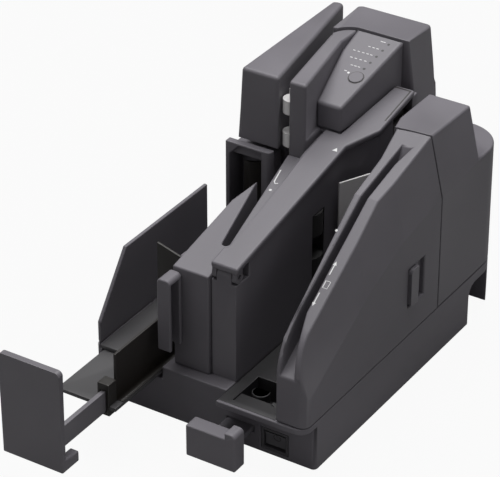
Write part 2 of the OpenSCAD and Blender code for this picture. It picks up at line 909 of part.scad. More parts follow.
module centre_rear_housing() color(charcoal) {
    difference() {
        union() {
            rise(seam_z, shelf_z) housing_outline(0);
            rise(seam_z, unit_top) strip_outline();
        }
        // Room of the motor
        slab(housing_cavity_x0, housing_cavity_x1, motor_axis[1] - 1.4 * motor_r,
            motor_axis[1] + 2 * motor_r, seam_z - over, seam_z + 2 * motor_h);
        // Rooms of the exit rollers
        for (z = exit_z_list)
            bar(exit_axis, exit_r + roller_gap, z - gap, z + exit_w + gap);
        bar(exit_axis, shaft_r + play, seam_z - over,
            exit_z_list[3] + exit_w + shaft_top + gap);
        // Side of the feed roller's room
        bar(feed_axis, feed_r + roller_gap, feed_z[0] - gap, feed_z[1] + gap);
    }
}

module panel_outline(inset) {
    polygon([
        [panel_front_x - inset, panel_y + inset], [panel_back_x - inset, panel_back - inset],
        [strip_apex[0] + inset, panel_back - inset],
        [strip_apex[0] + inset, strip_apex[1]],
        [housing_strip_x + (strip_apex[0] - housing_strip_x)
            * (panel_y - unit_at) / (strip_apex[1] - unit_at) + inset, panel_y + inset]
    ]);
}

// Places its children on the panel's slope, with +Z along the slope's normal
module on_panel(at) {
    translate([at[0], at[1], panel_z + panel_slope * (at[1] - panel_y)])
        rotate([atan(panel_slope), 0, 0]) children();
}

module control_panel() color(charcoal) {
    difference() {
        under_plane(panel_z - panel_slope * panel_y, panel_slope)
            rise(shelf_z, reach) panel_outline(0);
        under_plane(panel_z - panel_slope * panel_y - wall, panel_slope)
            rise(shelf_z - over, reach) panel_outline(wall);
        on_panel(button_at) translate([0, 0, -2 * wall])
            cylinder(r = button_r, h = 4 * wall);
        for (i = [0 : light_count - 1])
            on_panel(light_first + i * light_step) translate([0, 0, -2 * wall])
                cylinder(r = light_r, h = 4 * wall);
    }
}

module panel_button() color(charcoal) {
    on_panel(button_at) {
        translate([0, 0, -wall - gap]) cylinder(r = button_r - 2 * play,
            h = wall + gap + button_rise);
        // Tongue that keeps it under the top wall
        translate([-button_r - button_flange, -button_r / 2, -wall - gap - button_flange])
            cube([button_r + button_flange, button_r, button_flange]);
    }
}

module panel_lights() color(light) {
    for (i = [0 : light_count - 1])
        on_panel(light_first + i * light_step) translate([0, 0, -wall])
            cylinder(r = light_r, h = wall);
}

module rear_top_cover() color(charcoal) {
    difference() {
        union() {
            rise(seam_z, unit_top + rear_rise) rear_outline(0);
            // The right side spreads over the drum
            intersection() {
                rise(drum_z + gap, unit_top + rear_rise) rear_outline(rear_spread);
                front_rise(0, reach) polygon([
                    [rear_x0, drum_z], [rear_x1 + rear_spread, drum_z],
                    [rear_x1, unit_top + rear_rise], [rear_x0, unit_top + rear_rise]
                ]);
            }
        }
        slab(rear_x0 + 2 * wall, rear_x1 - wall, housing_far[1] + wall + gap, rear_y1 - wall,
            seam_z - over, unit_top + rear_rise - wall);
    }
}

// Plan of the rear cover: its front edge follows the round corner of the housing
module rear_outline(spread) {
    difference() {
        polygon([rear_tip, [rear_x1 + spread, rear_tip[1]], [rear_x1 + spread, rear_y1],
            [rear_x0, rear_y1]]);
        round_off(rear_x0, rear_y1, rear_r, -1, 1);
        round_off(rear_x1 + spread, rear_y1, rear_r, 1, 1);
        translate(housing_far + housing_r * [1, -1]) circle(r = housing_r + gap);
        translate([housing_far[0] + housing_r, 0]) square([case_w, housing_far[1] + gap]);
    }
}

module drum_outline(inset) {
    difference() {
        polygon([
            [-inset, door_back - 2 * wall + inset], [-inset, case_d - inset],
            [rear_x1 + gap + inset, case_d - inset], [rear_x1 + gap + inset,
                drum_step_y + inset], [drum_left + inset, drum_step_y + inset],
            [drum_left + inset, retard_axis[1]],
            [drum_left_front + inset, door_back - 2 * wall + inset]
        ]);
        round_off(-inset, case_d - inset, back_right_r - inset, 1, 1);
    }
}

module right_rear_cover() color(charcoal) {
    swing = door_back - pin_y + seam_gap;
    difference() {
        lean_trim() difference() {
            union() {
                rise(cover_z, drum_z) drum_outline(0);
                rise(cover_z, door_top) intersection() {
                    drum_outline(0);
                    translate([drum_left, 0]) square([-drum_left, box_back]);
                }
            }
            rise(cover_z - over, drum_z - wall) drum_outline(wall);
        }
        // Front face, round about the hinge of the right cover
        bar([pin_x, pin_y], swing, 0, reach);
        bar(retard_axis, retard_r + roller_gap, retard_z[0] - gap, retard_z[1] + gap);
        slab(drum_left - over, drum_left + wall + over, sensor_y0, sensor_y1,
            sensor_z0, sensor_z1);
    }
    // Bearing bosses of the retard roller
    difference() {
        intersection() {
            union() {
                bar(retard_axis, boss_r, cover_z, retard_z[0] - gap);
                bar(retard_axis, boss_r, retard_z[1] + gap, drum_z - wall / 2);
            }
            slab(-reach, 0, 0, reach, 0, reach);
        }
        bar(retard_axis, shaft_r + play, 0, retard_z[1] + shaft_top + gap);
    }
}

// Upright sheet between two places on the plan
module sheet(from, to, t, z0, z1) {
    run = to - from;
    translate([from[0], from[1], z0]) rotate([0, 0, atan2(run[1], run[0])])
        translate([0, -t / 2, 0]) cube([norm(run), t, z1 - z0]);
}

module throat_guide() color(light) {
    difference() {
        sheet(guide_from, guide_to, guide_sheet, seam_z, throat_guide_z);
        bar(pickup_axis, pickup_r + roller_gap, seam_z, reach);
    }
}

module pocket_back_frame() color(charcoal) {
    x0 = frame_x0 + frame_rim;
    x1 = frame_x1 - frame_side;
    z1 = frame_top - frame_head;
    difference() {
        union() {
            slab(frame_x0, frame_x1, frame_y0, frame_y1, seam_z, frame_top);
            // Box behind the window
            slab(frame_x0, frame_x1 - wall, frame_y0 + wall, frame_back, seam_z,
                frame_top - 2 * frame_rim);
        }
        front_rise(frame_y0 - over, frame_y1 - inner_r * 3) polygon([[x0, window_z0], [x1, window_z0],
            [x1, z1], [x0 + frame_cut, z1], [x0, z1 - frame_cut]]);
        slab(x0, x1 + wall, frame_y1 - wall, frame_back - wall, window_z0,
            frame_top - 3 * frame_rim);
        rise(0, reach) round_off(frame_x1, frame_y0, frame_rim, 1, -1);
        bar(lever_pivot, lever_r + play, seam_z - over, window_z0 + over);
    }
}

module pocket_side_guard() color(charcoal) {
    side_rise(-case_w, -case_w + guard_t)
        polygon([[guard_y0, seam_z], [guard_y0, guard_low], [guard_slope_y, guard_top],
            [guard_y1, guard_top], [guard_y1, seam_z]]);
}

module power_bezel() color(black) {
    difference() {
        slab(power_x0 + gap, power_x1 - gap, inner_r, bezel_depth + wall,
            power_z0 + gap, power_z1 - gap);
        slab(power_x0 + bezel_t, power_x1 - bezel_t, -over, bezel_depth + wall + over,
            power_z0 + bezel_t, power_z1 - bezel_t);
        rocker_axle(rocker_pivot_r + play);
    }
}

// Axle of the power rocker, across its middle
module rocker_axle(r) {
    side_rise(power_x0 + bezel_t / 2, power_x1 - bezel_t / 2)
        translate([bezel_depth, (power_z0 + power_z1) / 2]) circle(r = r);
}

module power_rocker() color(dark) {
    half = (power_z1 - power_z0) / 2 - bezel_t - 3 * gap;
    side_rise(power_x0 + bezel_t + gap, power_x1 - bezel_t - gap)
        translate([bezel_depth, (power_z0 + power_z1) / 2])
            polygon([[-bezel_depth + over, half], [-bezel_depth + over + pan_t / 2, 0],
                [-bezel_depth + over + pan_t / 2, -half], [bezel_t / 2, -half / 2],
                [bezel_t / 2, half / 2]]);
    rocker_axle(rocker_pivot_r);
}

module hinge_pins() color(steel) {
    bar([pin_x, pin_y], pin_r, seam_z - pin_down, seam_z - pin_down + pin_len);
    bar(left_pin, pin_r, seam_z - pin_down, seam_z - pin_down + pin_len);
}

module drive_motor() color(steel) {
    difference() {
        union() {
            bar(motor_axis, motor_r, seam_z + motor_plate_t, seam_z + motor_h);
            translate([motor_axis[0] - motor_r, motor_axis[1] - motor_r, seam_z])
                cube([2 * motor_r, 2 * motor_r, motor_plate_t]);
        }
        bar(motor_axis, shaft_r + play, seam_z - over, seam_z + motor_h / 2);
    }
}

module motor_pulley() color(steel) {
    bar(motor_axis, shaft_r, pulley_z, seam_z + motor_h / 2 - gap);
    bar(motor_axis, pulley_r, pulley_z, pulley_z + pulley_t);
}

module belt_outline(extra) {
    hull() for (p = [feed_axis, pickup_axis, exit_axis, motor_axis])
        translate(p) circle(r = pulley_r + extra, $fn = 32);
}

module drive_belt() color(black) {
    rise(pulley_z + belt_play, pulley_z + pulley_t - belt_play) difference() {
        belt_outline(belt_play + belt_t);
        belt_outline(belt_play);
    }
}

module image_sensor() color(dark) {
    slab(drum_left + gap, drum_left + wall + sensor_w, sensor_y0 + gap, sensor_y1 - gap,
        sensor_z0 + gap, sensor_z1 - gap);
}

module magnetic_head() color(steel) {
    slab(-throat_x - head_w, -throat_x, head_y0, head_y1, head_z0 - gap, head_z1);
}

module ink_cartridge() color(black) {
    slab(-throat_x - ink_w, -throat_x - gap, ink_y0, ink_y1, ink_z0 - gap, ink_z1);
    slab(-throat_x - 3 * ink_w / 4, -throat_x - ink_w / 4, ink_y0 + ink_w / 2,
        ink_y1 - ink_w / 2, ink_z1, ink_z1 + wall);
}

// Side view of the right cover: a round nose, a steep top edge, a knee and a gentle one
module door_profile() {
    centre = [nose_r - door_front, nose_z];
    knee = [knee_y, knee_z];
    turn = atan2(knee[1] - centre[1], knee[0] - centre[0])
        + acos(nose_r / norm(knee - centre));
    touch = centre + nose_r * [cos(turn), sin(turn)];
    polygon([[-door_front, cover_z], [-door_front, nose_z], touch, knee,
        [door_back, door_top], [door_back, cover_z]]);
    circle_top = centre;
    intersection() {
        translate(circle_top) circle(r = nose_r);
        translate([-door_front, cover_z]) square([2 * nose_r, reach]);
    }
}

module door_plan(inset) {
    difference() {
        intersection() {
            polygon([
                [-inset, -door_front + inset], [-door_w + inset, -door_front + inset],
                door_left_mid + [inset, 0], [door_left_back_x + inset, door_back - inset],
                [-inset, door_back - inset]
            ]);
            translate([pin_x, pin_y]) circle(r = door_back - pin_y - inset, $fn = 180);
        }
        round_off(-inset, -door_front + inset, corner(door_corner_r, inset), 1, -1);
    }
}

// Room of the card slot: a narrow plan that opens at both ends and a floor that climbs
module card_room() {
    intersection() {
        rise(cover_z, reach) polygon([
            [card_mouth[0], -door_front - over], [card_mouth[1], -door_front - over],
            [slot_x0 + card_w / 2, card_mouth_y], [slot_x1 + card_w / 2, card_tail_y],
            [slot_x1 + card_w / 2 + card_tail, card_end_y],
            [slot_x1 - card_w / 2, card_end_y], [slot_x0 - card_w / 2, card_mouth_y]
        ]);
        side_rise(-door_w - case_w, 0) polygon([
            [-door_front - over, card_front_z],
            [card_ramp_y, card_front_z + card_slope * (card_ramp_y + door_front)],
            [card_end_y, door_top], [card_end_y, reach], [-door_front - over, reach]
        ]);
    }
}

module right_cover() color(charcoal) {
    difference() {
        union() {
            difference() {
                intersection() {
                    lean_trim() side_rise(-case_w, 0) door_profile();
                    rise(cover_z, reach) door_plan(0);
                }
                // Room inside, open at the bottom
                intersection() {
                    rise(cover_z - over, reach) door_plan(wall);
                    side_rise(-case_w, 0) polygon([
                        [-door_front, 0], [-door_front, bay_front_z],
                        [card_ramp_y - wall, bay_front_z + card_slope * card_ramp_y],
                        [door_back, bay_front_z + card_slope * card_ramp_y],
                        [door_back, 0]
                    ]);
                }
            }
            // Boss of the hinge and pad behind the latch
            bar([pin_x, pin_y], pin_boss_r, cover_z, seam_z + pin_up + wall);
            slab(-latch_deep - wall, -wall / 2, latch_y0 - wall, latch_y1 + wall,
                latch_z0 - wall, latch_z1 + wall);
        }
        bar([pin_x, pin_y], pin_r + play, cover_z - over, seam_z + pin_up + gap);
        card_room();
        card_head_block(over);
        slab(-latch_deep, over, latch_y0, latch_y1, latch_z0, latch_z1);
    }
}

// Read head in the outer wall of the card slot
module card_head_block(play_all) {
    x = slot_x0 + (slot_x1 - slot_x0) * (card_head_y + door_front)
        / (card_end_y + door_front);
    z = card_front_z + card_slope * (card_head_y + door_front);
    slab(x + card_w / 2 - inner_r - play_all, x + card_w / 2 + wall - inner_r,
        card_head_y, card_head_y + head_w, z + head_w, z + 2 * head_w);
}

module card_head() color(black) {
    card_head_block(0);
}

module latch_handle() color(charcoal) {
    intersection() {
        union() {
            slab(-latch_deep, -latch_deep + latch_plate_t, latch_y0 + gap,
                latch_y1 - gap - latch_travel, latch_z0 + gap, latch_z1 - gap);
            side_rise(-latch_deep, latch_proud) translate([0, 0])
                difference() {
                    translate([latch_y0 + gap, latch_z0 + gap])
                        square([latch_ridge, latch_z1 - latch_z0 - 2 * gap]);
                    for (s = [-1, 1])
                        round_off(latch_y0 + gap,
                            s > 0 ? latch_z1 - gap : latch_z0 + gap, latch_deep, -1, s);
                }
        }
        slab(-reach, reach, 0, reach, 0, reach);
    }
}

module left_outline(inset) {
    difference() {
        polygon([
            [left_x0 + inset, unit_at + inset], [left_x1 - inset, unit_at + inset],
            [left_far_x - inset, left_back - inset], [left_x0 + inset, left_back - inset]
        ]);
        round_off(left_x0 + inset, left_back - inset, left_r - inset, -1, 1);
    }
}

module left_rear_cover() color(charcoal) {
    difference() {
        rise(cover_z, unit_top) left_outline(0);
        // The left face leans in towards its top
        front_rise(0, reach) polygon([
            [left_x0 - over, left_step_z], [left_x0, left_step_z],
            [left_x0 + left_draft, unit_top + over], [left_x0 - over, unit_top + over]
        ]);
        // The lower part stands back behind the pocket
        slab(left_x0 - over, 0, 0, left_setback, 0, left_step_z);
        difference() {
            rise(cover_z - over, unit_top - wall) left_outline(wall);
            slab(left_x0, 0, 0, left_setback + wall, 0, left_step_z + wall);
            bar(left_pin, pin_r + wall, 0, reach);
        }
        bar(left_pin, pin_r + play, 0, seam_z - pin_down + pin_len + gap);
    }
}

module stack_lever() color(black) {
    difference() {
        union() {
            bar(lever_pivot, lever_r, seam_z - pin_down + gap, lever_z1);
            translate([lever_pivot[0], lever_pivot[1], lever_z0])
                rotate([0, 0, lever_angle]) translate([0, -lever_t / 2, 0])
                    cube([lever_len, lever_t, lever_z1 - lever_z0]);
        }
        slab(-reach, 0, 0, frame_y1 + gap, 0, reach);
    }
}

module pocket_flap() color(black) {
    bar(flap_pivot, flap_r, flap_z0 - flap_ear_t - gap, flap_z1 - flap_drop + flap_ear_t);
    difference() {
        slab(flap_x0, flap_pivot[0], flap_pivot[1] - flap_t / 2,
            flap_pivot[1] + flap_t / 2, flap_z0, flap_z1);
        front_rise(0, case_d) polygon([[flap_x0, flap_z1], [flap_x0, reach],
            [0, reach], [0, flap_z1 - flap_drop], [flap_pivot[0] - 2 * flap_r - gap,
            flap_z1 - flap_drop]]);
    }
}

module diverter_flap() color(black) {
    bar(diverter_pivot, diverter_r, seam_z - pin_down + gap, diverter_z1);
    slab(diverter_pivot[0] - diverter_t / 2, diverter_pivot[0] + diverter_t / 2,
        diverter_pivot[1], diverter_pivot[1] + diverter_len, diverter_z0, diverter_z1);
}

module pressure_plate() color(dark) {
    bar(plate_pivot, plate_r, tray_top - tray_t - pin_down + gap, plate_z1);
    slab(plate_pivot[0] - plate_t / 2, plate_pivot[0] + plate_t / 2,
        plate_pivot[1], plate_pivot[1] + plate_len, plate_z0, plate_z1);
}

module feed_roller() color(rubber) {
    bar(feed_axis, shaft_r, pulley_z, feed_z[1] + shaft_top);
    bar(feed_axis, feed_r, feed_z[0], feed_z[1]);
    bar(feed_axis, pulley_r, pulley_z, pulley_z + pulley_t);
}

module pickup_roller() color(rubber) {
    bar(pickup_axis, shaft_r, pulley_z, pickup_z[1] + shaft_top);
    bar(pickup_axis, pulley_r, pulley_z, pulley_z + pulley_t);
    for (z = [pickup_z[0], pickup_z[1] - roller_w])
        bar(pickup_axis, pickup_r, z, z + roller_w);
}

module retard_roller() color(rubber) {
    bar(retard_axis, shaft_r, deck_z, retard_z[1] + shaft_top);
    bar(retard_axis, retard_r, retard_z[0], retard_z[1]);
}

module exit_rollers() color(light) {
    bar(exit_axis, shaft_r, pulley_z, exit_z_list[3] + exit_w + shaft_top);
    bar(exit_axis, pulley_r, pulley_z, pulley_z + pulley_t);
    for (z = exit_z_list) bar(exit_axis, exit_r, z, z + exit_w);
}

module hopper_arm() color(charcoal) {
    difference() {
        union() {
            slab(arm_x0, arm_x1, arm_y0, arm_y1, arm_z0, arm_z1);
            slab(arm_x1 - arm_post_w, arm_x1, arm_y0, arm_y1, arm_z0,
                arm_z1 + arm_post_rise);
        }
        front_rise(arm_y0 - over, arm_y1 + over)
            round_off(arm_x1, arm_z1 + arm_post_rise, arm_r, 1, 1);
        // Hollow underside
        slab(arm_x0 + wall, arm_x1 - wall, arm_y0 + wall, arm_y1 - wall,
            arm_z0 + rail_t, arm_z1 - wall);
    }
    slab(rail_x0, rail_x1, arm_y1 - wall, rail_len, arm_z0, arm_z0 + rail_t);
}

module extension_tray() color(dark) {
    difference() {
        slab(pocket_x0 + over, extension_x1, extension_y0, extension_y1, tray_z0, tray_z1);
        slab(bar_x0 - 2 * gap, bar_x1 + 2 * gap, extension_y0 - over,
            bar_y0 + bar_travel + 3 * bar_back + 3 * wall, tray_z0 - over, tray_z1 + over);
        slab(bar_x0 - wall, bar_x1 + wall, extension_y0 - over, extension_y0 + clamp_d,
            tray_z0 - over, tray_z1 + over);
    }
    // Runners on the pan
    for (x = [pocket_x0 + over, extension_x1 - wall])
        slab(x, x + wall, 2 * wall, extension_y1, pocket_z + gap, tray_z0 + inner_r);
}

module guide_plate() color(black) {
    slab(guide_x0, guide_x0 + guide_t, guide_y0, guide_y1, tray_z1, tray_z1 + guide_h);
    slab(guide_x0 + guide_t, extension_x1, guide_y0, guide_y1, tray_z1,
        tray_z1 + inner_r);
}

module bar_clamp() color(black) {
    y0 = extension_y0;
    difference() {
        slab(bar_x0 - wall, bar_x1 + wall, y0, y0 + clamp_d, bar_z0 - wall,
            bar_z1 + clamp_rise);
        slab(bar_x0 - gap, bar_x1 + gap, y0 - over, y0 + clamp_d + over,
            bar_z0 - gap, bar_z1 + gap);
    }
}

module slide_bar() color(charcoal) {
    slab(bar_x0, bar_x1, bar_y0, bar_y0 + 3 * bar_back, bar_z0, bar_z1);
}

module stopper_plate() color(charcoal) {
    y0 = bar_y0 - stopper_t;
    difference() {
        slab(stopper_x0, stopper_x1, y0, bar_y0, stopper_z0, stopper_z0 + stopper_h);
        front_rise(y0 - over, bar_y0 + over) {
            round_off(stopper_x0, stopper_z0 + stopper_h, stopper_r, -1, 1);
            round_off(stopper_x1, stopper_z0 + stopper_h, stopper_r, 1, 1);
        }
    }
    slab(stopper_x1 - hook_w, stopper_x1, bar_y0, bar_y0 + hook_d,
        stopper_z0, stopper_z0 + hook_h);
}

// Origin in the middle of the footprint, on the table
module placed() {
    front = bar_y0 - stopper_t;
    translate([(case_w - latch_proud) / 2, -(front + rear_y1) / 2, 0]) children();
}

placed() lower_case();
placed() bottom_cover();
placed() rubber_feet();
placed() case_screws();
placed() circuit_board();
placed() rear_connectors();
placed() hopper_tray();
placed() pocket_floor();
placed() pocket_divider();
placed() divider_end_tab();
placed() centre_island();
placed() centre_rear_housing();
placed() control_panel();
placed() panel_lights();
placed() rear_top_cover();
placed() right_rear_cover();
placed() throat_guide();
placed() pocket_back_frame();
placed() pocket_side_guard();
placed() power_bezel();
placed() hinge_pins();
placed() lid_pin();
placed() drive_motor();
placed() image_sensor();
placed() magnetic_head();
placed() ink_cartridge();
placed() drive_belt();
placed() right_cover();
placed() card_head();
placed() latch_handle();
placed() centre_cover();
placed() left_rear_cover();
placed() power_rocker();
placed() panel_button();
placed() stack_lever();
placed() pocket_flap();
placed() diverter_flap();
placed() pressure_plate();
placed() feed_roller();
placed() pickup_roller();
placed() retard_roller();
placed() exit_rollers();
placed() motor_pulley();
placed() hopper_arm();
placed() extension_tray();
placed() guide_plate();
placed() bar_clamp();
placed() slide_bar();
placed() stopper_plate();
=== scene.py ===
# %% [markdown]
# # A desktop cheque scanner, dressed for its picture
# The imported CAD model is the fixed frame. This notebook keeps every CAD size, gives the
# moulded shells the soft edges that a mould leaves, prints the small marks on them, makes
# the materials from procedural nodes and sets up a plain studio.

# %%
import json
import math

import bpy
import bmesh
from mathutils import Matrix, Vector
from mathutils.bvhtree import BVHTree


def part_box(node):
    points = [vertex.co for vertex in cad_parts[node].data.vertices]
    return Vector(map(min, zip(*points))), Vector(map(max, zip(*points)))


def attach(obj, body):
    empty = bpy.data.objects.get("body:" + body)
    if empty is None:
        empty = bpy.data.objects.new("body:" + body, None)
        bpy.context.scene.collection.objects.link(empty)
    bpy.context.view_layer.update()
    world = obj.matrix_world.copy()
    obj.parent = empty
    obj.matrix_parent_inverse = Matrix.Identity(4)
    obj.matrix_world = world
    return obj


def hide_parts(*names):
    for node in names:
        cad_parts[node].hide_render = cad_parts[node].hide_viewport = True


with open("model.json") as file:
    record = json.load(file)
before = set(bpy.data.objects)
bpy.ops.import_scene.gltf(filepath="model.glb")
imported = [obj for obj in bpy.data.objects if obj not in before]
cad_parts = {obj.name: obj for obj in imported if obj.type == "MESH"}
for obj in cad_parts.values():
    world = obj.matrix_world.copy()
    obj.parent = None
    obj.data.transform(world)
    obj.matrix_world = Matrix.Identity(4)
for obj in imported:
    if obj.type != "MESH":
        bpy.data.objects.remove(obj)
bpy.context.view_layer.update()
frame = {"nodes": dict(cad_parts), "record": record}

# %% [markdown]
# ## Places
# The CAD was drawn with x = 0 on the right face, y = 0 on the front wall of the lower case
# and z = 0 on the table, in millimetres. `at` turns such a place into a Blender point, from
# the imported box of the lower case.

# %%
MM = 0.001
CASE_DEPTH = 224
case_low, case_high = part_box("lower_case")


def at(x, y, z):
    return Vector((case_high.x + x * MM, case_high.y + (y - CASE_DEPTH) * MM, z * MM))


print("front wall centre", at(-76, 0, 0))

# %% [markdown]
# ## Camera
# The camera was fitted to the edges of the case. It stands a metre and a half away with a
# long lens, a third of a turn to the right of the front and looking down.

# %%
CAMERA_TURN = 32.51
CAMERA_TILT = 31.37
CAMERA_SHIFT_X = 37.25
CAMERA_SHIFT_Y = -134.89
CAMERA_DISTANCE = 1516.02
FOCAL_PIXELS = 2651.0
IMAGE_WIDTH = 500
SENSOR = 36.0


def camera_axes(turn, tilt):
    a, e = math.radians(turn), math.radians(tilt)
    back = Vector((math.sin(a) * math.cos(e), -math.cos(a) * math.cos(e), math.sin(e)))
    right = Vector((math.cos(a), math.sin(a), 0))
    return right, back.cross(right), back


def make_camera():
    right, up, back = camera_axes(CAMERA_TURN, CAMERA_TILT)
    place = back * CAMERA_DISTANCE - right * CAMERA_SHIFT_X - up * CAMERA_SHIFT_Y
    data = bpy.data.cameras.new("camera")
    data.sensor_width = SENSOR
    data.lens = FOCAL_PIXELS / IMAGE_WIDTH * SENSOR
    data.clip_end = 20
    cam = bpy.data.objects.new("camera", data)
    bpy.context.scene.collection.objects.link(cam)
    turn = Matrix((right, up, back)).transposed().to_4x4()
    cam.matrix_world = Matrix.Translation(at(*place)) @ turn
    bpy.context.scene.camera = cam
    return cam


camera = make_camera()
print("camera at", camera.location)

# %% [markdown]
# ## Colour and nodes
# Colours are written as sRGB hex numbers and turned into scene-linear values in one place.

# %%


def linear(hex_colour):
    values = [int(hex_colour[i:i + 2], 16) / 255 for i in (0, 2, 4)]
    return tuple(v / 12.92 if v <= 0.04045 else ((v + 0.055) / 1.055) ** 2.4
                 for v in values) + (1.0,)


def add(tree, kind, links=None, **values):
    """Add a node, set its inputs or properties by name and link its inputs."""
    node = tree.nodes.new(kind)
    for key, value in values.items():
        name = key.replace("_", " ")
        if name in node.inputs:
            node.inputs[name].default_value = value
        else:
            setattr(node, key, value)
    for key, socket in (links or {}).items():
        tree.links.new(socket, node.inputs[key])
    return node


# %% [markdown]
# ## Moulded plastic
# One maker serves all the plastics: a base colour with a slow cloudy drift, a fine spark
# texture as bump, and a roughness that varies a little with handling. Edges that hands and
# paper rub are slightly lighter, from the pointiness of the mesh. The rocker and its bezel
# have a tone of their own plastic; the hopper tray is painted darker for the shade in its pit.

# %%
WORN_COLOUR = (0.6, 0.59, 0.6, 1)
CLOUD_SCALE = 18.0
CLOUD = {"From_Min": 0.3, "From_Max": 0.7}


def plastic(name, colour, rough=0.5, grain=0.35, depth=0.02, wear=0.06, spread=0.10):
    mat = bpy.data.materials.new(name)
    mat.use_nodes = True
    tree = mat.node_tree
    shader = tree.nodes["Principled BSDF"]
    place = add(tree, "ShaderNodeTexCoord").outputs["Object"]
    cloud = add(tree, "ShaderNodeTexNoise", {"Vector": place}, Scale=CLOUD_SCALE, Detail=3.0)
    drift = add(tree, "ShaderNodeMapRange", {"Value": cloud.outputs["Fac"]},
                To_Min=1 - spread, To_Max=1 + spread, **CLOUD)
    base = add(tree, "ShaderNodeMix", {"Factor": drift.outputs["Result"]},
               data_type="RGBA", clamp_factor=False)
    base.inputs[6].default_value = (0, 0, 0, 1)
    base.inputs[7].default_value = linear(colour)
    edge = add(tree, "ShaderNodeNewGeometry").outputs["Pointiness"]
    worn = add(tree, "ShaderNodeMapRange", {"Value": edge},
               From_Min=0.51, From_Max=0.62, To_Min=0.0, To_Max=wear)
    top = add(tree, "ShaderNodeMix", {"Factor": worn.outputs["Result"]}, data_type="RGBA")
    tree.links.new(base.outputs[2], top.inputs[6])
    top.inputs[7].default_value = WORN_COLOUR
    tree.links.new(top.outputs[2], shader.inputs["Base Color"])
    spark = add(tree, "ShaderNodeTexNoise", {"Vector": place}, Scale=1 / (grain * MM),
                Detail=2.0)
    bump = add(tree, "ShaderNodeBump", {"Height": spark.outputs["Fac"]},
               Strength=0.35, Distance=depth * MM)
    tree.links.new(bump.outputs["Normal"], shader.inputs["Normal"])
    shine = add(tree, "ShaderNodeMapRange", {"Value": cloud.outputs["Fac"]},
                To_Min=rough - 0.05, To_Max=rough + 0.06, **CLOUD)
    tree.links.new(shine.outputs["Result"], shader.inputs["Roughness"])
    return mat


materials = {
    "charcoal_plastic": plastic("charcoal_abs", "67646a"),
    "dark_plastic": plastic("dark_abs", "3b3a3c", rough=0.48),
    "black_plastic": plastic("black_plastic", "1c1814", rough=0.4, wear=0.03),
    "light_plastic": plastic("light_plastic", "e4e2e2", rough=0.35, wear=0.0, spread=0.04),
    "light_lens": plastic("smoked_lens", "161617", rough=0.45, wear=0.0, depth=0.0),
    "steel": plastic("zinc_plated_steel", "a9a9ad", rough=0.3, wear=0.0),
    "board_laminate": plastic("green_laminate", "0f4f2b", rough=0.3, wear=0.0),
    "roller_rubber": plastic("ground_rubber", "2b2a2b", rough=0.75, grain=0.2, wear=0.02),
    "foot_rubber": plastic("moulded_rubber", "1d1d1e", rough=0.8, wear=0.02),
    "white_print": plastic("pad_print", "dcdcdc", rough=0.6, wear=0.0, spread=0.03),
}
own_tones_and_painted_shade = {
    "power_rocker": plastic("switch_abs", "5c5a5e", rough=0.48),
    "power_bezel": plastic("bezel_abs", "4a484c", rough=0.48),
    # The tray's dark tone is painted shade: it darkens the pit and ledge, where shade falls.
    "hopper_tray": plastic("tray_painted_pit_shade", "29282a", rough=0.5),
}
materials["steel"].node_tree.nodes["Principled BSDF"].inputs["Metallic"].default_value = 1
slot_of = {row["node"]: row["material_slot"] for row in frame["record"]["subparts"]}
print("materials", len(materials))

# %% [markdown]
# ## Soft edges
# A moulded shell has no sharp edge. `soften` copies a node's mesh, joins its flat
# triangles, rounds the sharp edges and stands in for the node on the same body. Edges
# along a seam to a neighbour get a small round, so that the seam stays a dark line. No
# round leaves the CAD solid, and a fold between two broad faces stays crisp.

# %%
SEAM_REACH = 2.6        # mm from an edge to the neighbour's surface
SEAM_RADIUS = 0.45
SEAM_SAMPLES = (0.1, 0.5, 0.9)
BROAD_FACE = 7          # mm of width across a fold
FOLD_ANGLE = 1.5
FLAT_ANGLE = 0.5
SHARP_ANGLE = 28
SMOOTH_ANGLE = 38
ROUND_STEPS = 3
JOIN_DISTANCE = 0.005
SURFACE_TOLERANCE = 0.01
trees = {}
seams = {
    "left_rear_cover": ["pocket_back_frame"],
    "right_cover": ["right_rear_cover"],
    "right_rear_cover": ["right_cover"],
    "rear_top_cover": ["centre_rear_housing", "control_panel"],
    "control_panel": ["rear_top_cover"],
    "centre_rear_housing": ["rear_top_cover"],
}
body_of = {node: body for body, nodes in frame["record"]["behaviour"]["bodies"].items()
           for node in nodes}


def paint(obj, slot_name, node=""):
    """Give a piece its slot's material, or the node's own tone or painted shade of it."""
    obj.data.materials.clear()
    obj.data.materials.append(own_tones_and_painted_shade.get(node, materials[slot_name]))


def baked(obj):
    """Apply an object's modifiers to its mesh."""
    graph = bpy.context.evaluated_depsgraph_get()
    mesh = bpy.data.meshes.new_from_object(obj.evaluated_get(graph))
    obj.modifiers.clear()
    obj.data = mesh
    return obj


def tree_of(node):
    """A search tree over a node's mesh, made once."""
    if node not in trees:
        mesh = frame["nodes"][node].data
        trees[node] = BVHTree.FromPolygons([v.co for v in mesh.vertices],
                                           [f.vertices[:] for f in mesh.polygons])
    return trees[node]


def outer_edges(bm, radius):
    """The sharp convex edges that have room for a round of this radius."""
    room = (1.5 * radius * MM) ** 2
    edges = []
    for edge in bm.edges:
        if len(edge.link_faces) != 2 or edge.calc_length() < 0.25 * radius * MM:
            continue
        if min(face.calc_area() for face in edge.link_faces) < room:
            continue
        if edge.calc_face_angle_signed(0) > math.radians(SHARP_ANGLE):
            edges.append(edge)
    return edges


def at_seam(edge, neighbours):
    """Whether an edge runs along the seam to a neighbouring shell."""
    a, b = (vert.co for vert in edge.verts)
    places = [a.lerp(b, share) for share in SEAM_SAMPLES]
    return any(all(tree_of(name).find_nearest(place, SEAM_REACH * MM)[0] for place in places)
               for name in neighbours)


